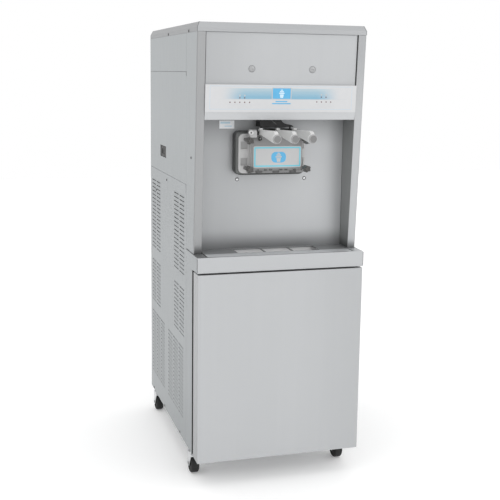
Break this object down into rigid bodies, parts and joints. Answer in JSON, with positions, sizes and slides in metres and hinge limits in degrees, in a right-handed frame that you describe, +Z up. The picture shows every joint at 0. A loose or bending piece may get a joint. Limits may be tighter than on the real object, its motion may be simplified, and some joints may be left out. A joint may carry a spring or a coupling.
{
  "type": "soft serve machine",
  "caption": "Floor-standing soft serve freezer with draw handles, drip tray, lidded mix hoppers, gear motors and a refrigeration set, on swivel casters.",
  "frame": {"origin": "on the floor, at the centre of the box around the machine seen from above", "axes": "+Z up; the front, with the draw handles, faces -Y; +X is the viewer's right when facing the front"},
  "size_m": [0.6526, 1.056, 1.731],
  "materials": {
    "stainless": "satin stainless sheet, faint brush lines",
    "stainless_inner": "satin stainless, deep drawn",
    "frame_steel": "grey painted square tube",
    "white_overlay": "printed film, pale, with blue linework",
    "door_plastic": "cast grey block, slightly translucent",
    "handle_plastic": "light grey moulded lever",
    "black_plastic": "moulded, black",
    "dark_grey_plastic": "moulded, dark grey",
    "screw_knob": "dark moulded knob on a steel screw",
    "white_nylon": "natural nylon",
    "insulation": "foam sleeve round a steel barrel",
    "motor_paint": "black enamel",
    "copper_fin": "fins on copper tube",
    "tread_rubber": "dark rubber tread"
  },
  "bodies": {
    "cabinet": {"chassis": "frame_steel", "corner_post_left": "stainless", "corner_post_right": "stainless", "side_panel_lower_left": "stainless", "side_panel_lower_right": "stainless", "side_panel_upper_left": "stainless", "side_panel_upper_right": "stainless", "rear_panel": "stainless", "top_cover": "stainless", "upper_front_panel": "stainless", "control_console": "stainless", "splash_panel": "stainless", "lower_front_panel": "stainless", "counter_shelf": "stainless", "pivot_pin": "stainless", "control_overlay": "white_overlay", "door_label": "white_overlay", "hopper_left": "stainless_inner", "hopper_right": "stainless_inner", "feed_tube_left": "white_nylon", "feed_tube_right": "white_nylon", "design_cap_left": "white_nylon", "design_cap_centre": "white_nylon", "design_cap_right": "white_nylon", "freezing_cylinder_left": "insulation", "freezing_cylinder_right": "insulation", "gear_motor_left": "motor_paint", "gear_motor_right": "motor_paint", "compressor": "motor_paint", "condenser": "copper_fin", "door_shroud": "dark_grey_plastic", "switch_housing": "black_plastic", "freezer_door": "door_plastic"},
    "hopper_cover_left": {"hopper_cover_left": "white_nylon"},
    "hopper_cover_right": {"hopper_cover_right": "white_nylon"},
    "power_rocker": {"power_rocker": "black_plastic"},
    "draw_handle_left": {"draw_handle_left": "handle_plastic"},
    "draw_valve_left": {"draw_valve_left": "white_nylon"},
    "draw_handle_centre": {"draw_handle_centre": "handle_plastic"},
    "draw_valve_centre": {"draw_valve_centre": "white_nylon"},
    "draw_handle_right": {"draw_handle_right": "handle_plastic"},
    "draw_valve_right": {"draw_valve_right": "white_nylon"},
    "handscrew_upper_left": {"handscrew_upper_left": "screw_knob"},
    "handscrew_upper_right": {"handscrew_upper_right": "screw_knob"},
    "handscrew_lower_left": {"handscrew_lower_left": "screw_knob"},
    "handscrew_lower_right": {"handscrew_lower_right": "screw_knob"},
    "beater_left": {"beater_left": "stainless_inner"},
    "beater_right": {"beater_right": "stainless_inner"},
    "condenser_fan": {"condenser_fan": "dark_grey_plastic"},
    "drip_tray": {"drip_tray": "stainless_inner"},
    "splash_shield": {"splash_shield": "stainless"},
    "side_drip_pan": {"side_drip_pan": "black_plastic"},
    "caster_fork_front_left": {"caster_fork_front_left": "black_plastic"},
    "caster_wheel_front_left": {"caster_wheel_front_left": "tread_rubber"},
    "caster_fork_front_right": {"caster_fork_front_right": "black_plastic"},
    "caster_wheel_front_right": {"caster_wheel_front_right": "tread_rubber"},
    "caster_fork_rear_left": {"caster_fork_rear_left": "black_plastic"},
    "caster_wheel_rear_left": {"caster_wheel_rear_left": "tread_rubber"},
    "caster_fork_rear_right": {"caster_fork_rear_right": "black_plastic"},
    "caster_wheel_rear_right": {"caster_wheel_rear_right": "tread_rubber"}
  },
  "joints": [
    {"name": "hopper_cover_left_lift", "type": "slide", "parent": "cabinet", "child": "hopper_cover_left", "axis": [0, 0, 1], "range_m": [0, 0.12]},
    {"name": "hopper_cover_right_lift", "type": "slide", "parent": "cabinet", "child": "hopper_cover_right", "axis": [0, 0, 1], "range_m": [0, 0.12]},
    {"name": "power_rocker_tip", "type": "hinge", "parent": "cabinet", "child": "power_rocker", "pos_m": [-0.215, -0.3, 1.3865], "axis": [1, 0, 0], "range_deg": [-8, 8]},
    {"name": "draw_handle_left_pull", "type": "hinge", "parent": "cabinet", "child": "draw_handle_left", "pos_m": [-0.067, -0.3245, 1.337], "axis": [1, 0, 0], "range_deg": [0, 40]},
    {"name": "draw_valve_left_lift", "type": "slide", "parent": "cabinet", "child": "draw_valve_left", "axis": [0, 0, 1], "range_m": [0, 0.014]},
    {"name": "draw_handle_centre_pull", "type": "hinge", "parent": "cabinet", "child": "draw_handle_centre", "pos_m": [0, -0.3245, 1.337], "axis": [1, 0, 0], "range_deg": [0, 40]},
    {"name": "draw_valve_centre_lift", "type": "slide", "parent": "cabinet", "child": "draw_valve_centre", "axis": [0, 0, 1], "range_m": [0, 0.014]},
    {"name": "draw_handle_right_pull", "type": "hinge", "parent": "cabinet", "child": "draw_handle_right", "pos_m": [0.067, -0.3245, 1.337], "axis": [1, 0, 0], "range_deg": [0, 40]},
    {"name": "draw_valve_right_lift", "type": "slide", "parent": "cabinet", "child": "draw_valve_right", "axis": [0, 0, 1], "range_m": [0, 0.014]},
    {"name": "handscrew_upper_left_turn", "type": "hinge", "parent": "cabinet", "child": "handscrew_upper_left", "pos_m": [-0.118, -0.2985, 1.309], "axis": [0, 1, 0], "continuous": true},
    {"name": "handscrew_upper_right_turn", "type": "hinge", "parent": "cabinet", "child": "handscrew_upper_right", "pos_m": [0.104, -0.2985, 1.309], "axis": [0, 1, 0], "continuous": true},
    {"name": "handscrew_lower_left_turn", "type": "hinge", "parent": "cabinet", "child": "handscrew_lower_left", "pos_m": [-0.118, -0.2985, 1.203], "axis": [0, 1, 0], "continuous": true},
    {"name": "handscrew_lower_right_turn", "type": "hinge", "parent": "cabinet", "child": "handscrew_lower_right", "pos_m": [0.104, -0.2985, 1.203], "axis": [0, 1, 0], "continuous": true},
    {"name": "beater_left_spin", "type": "hinge", "parent": "cabinet", "child": "beater_left", "pos_m": [-0.067, -0.246, 1.25], "axis": [0, 1, 0], "continuous": true},
    {"name": "beater_right_spin", "type": "hinge", "parent": "cabinet", "child": "beater_right", "pos_m": [0.067, -0.246, 1.25], "axis": [0, 1, 0], "continuous": true},
    {"name": "condenser_fan_spin", "type": "hinge", "parent": "cabinet", "child": "condenser_fan", "pos_m": [0.1655, 0.175, 0.33], "axis": [1, 0, 0], "continuous": true},
    {"name": "drip_tray_lift", "type": "slide", "parent": "cabinet", "child": "drip_tray", "axis": [0, 0, 1], "range_m": [0, 0.1]},
    {"name": "splash_shield_lift", "type": "slide", "parent": "drip_tray", "child": "splash_shield", "axis": [0, 0, 1], "range_m": [0, 0.08]},
    {"name": "side_drip_pan_pull", "type": "slide", "parent": "cabinet", "child": "side_drip_pan", "axis": [-1, 0, 0], "range_m": [0, 0.17]},
    {"name": "caster_front_left_swivel", "type": "hinge", "parent": "cabinet", "child": "caster_fork_front_left", "pos_m": [-0.3, -0.271, 0.1], "axis": [0, 0, 1], "continuous": true},
    {"name": "caster_front_left_roll", "type": "hinge", "parent": "caster_fork_front_left", "child": "caster_wheel_front_left", "pos_m": [-0.3, -0.249, 0.0375], "axis": [1, 0, 0], "continuous": true},
    {"name": "caster_front_right_swivel", "type": "hinge", "parent": "cabinet", "child": "caster_fork_front_right", "pos_m": [0.3, -0.271, 0.1], "axis": [0, 0, 1], "continuous": true},
    {"name": "caster_front_right_roll", "type": "hinge", "parent": "caster_fork_front_right", "child": "caster_wheel_front_right", "pos_m": [0.3, -0.249, 0.0375], "axis": [1, 0, 0], "continuous": true},
    {"name": "caster_rear_left_swivel", "type": "hinge", "parent": "cabinet", "child": "caster_fork_rear_left", "pos_m": [-0.3, 0.4465, 0.1], "axis": [0, 0, 1], "continuous": true},
    {"name": "caster_rear_left_roll", "type": "hinge", "parent": "caster_fork_rear_left", "child": "caster_wheel_rear_left", "pos_m": [-0.3, 0.4685, 0.0375], "axis": [1, 0, 0], "continuous": true},
    {"name": "caster_rear_right_swivel", "type": "hinge", "parent": "cabinet", "child": "caster_fork_rear_right", "pos_m": [0.3, 0.4465, 0.1], "axis": [0, 0, 1], "continuous": true},
    {"name": "caster_rear_right_roll", "type": "hinge", "parent": "caster_fork_rear_right", "child": "caster_wheel_rear_right", "pos_m": [0.3, 0.4685, 0.0375], "axis": [1, 0, 0], "continuous": true}
  ],
  "couplings": [
    {"joint": "draw_valve_left_lift", "follows": "draw_handle_left_pull", "m_per_rad": 0.0195},
    {"joint": "draw_valve_centre_lift", "follows": "draw_handle_centre_pull", "m_per_rad": 0.0195},
    {"joint": "draw_valve_right_lift", "follows": "draw_handle_right_pull", "m_per_rad": 0.0195}
  ]
}
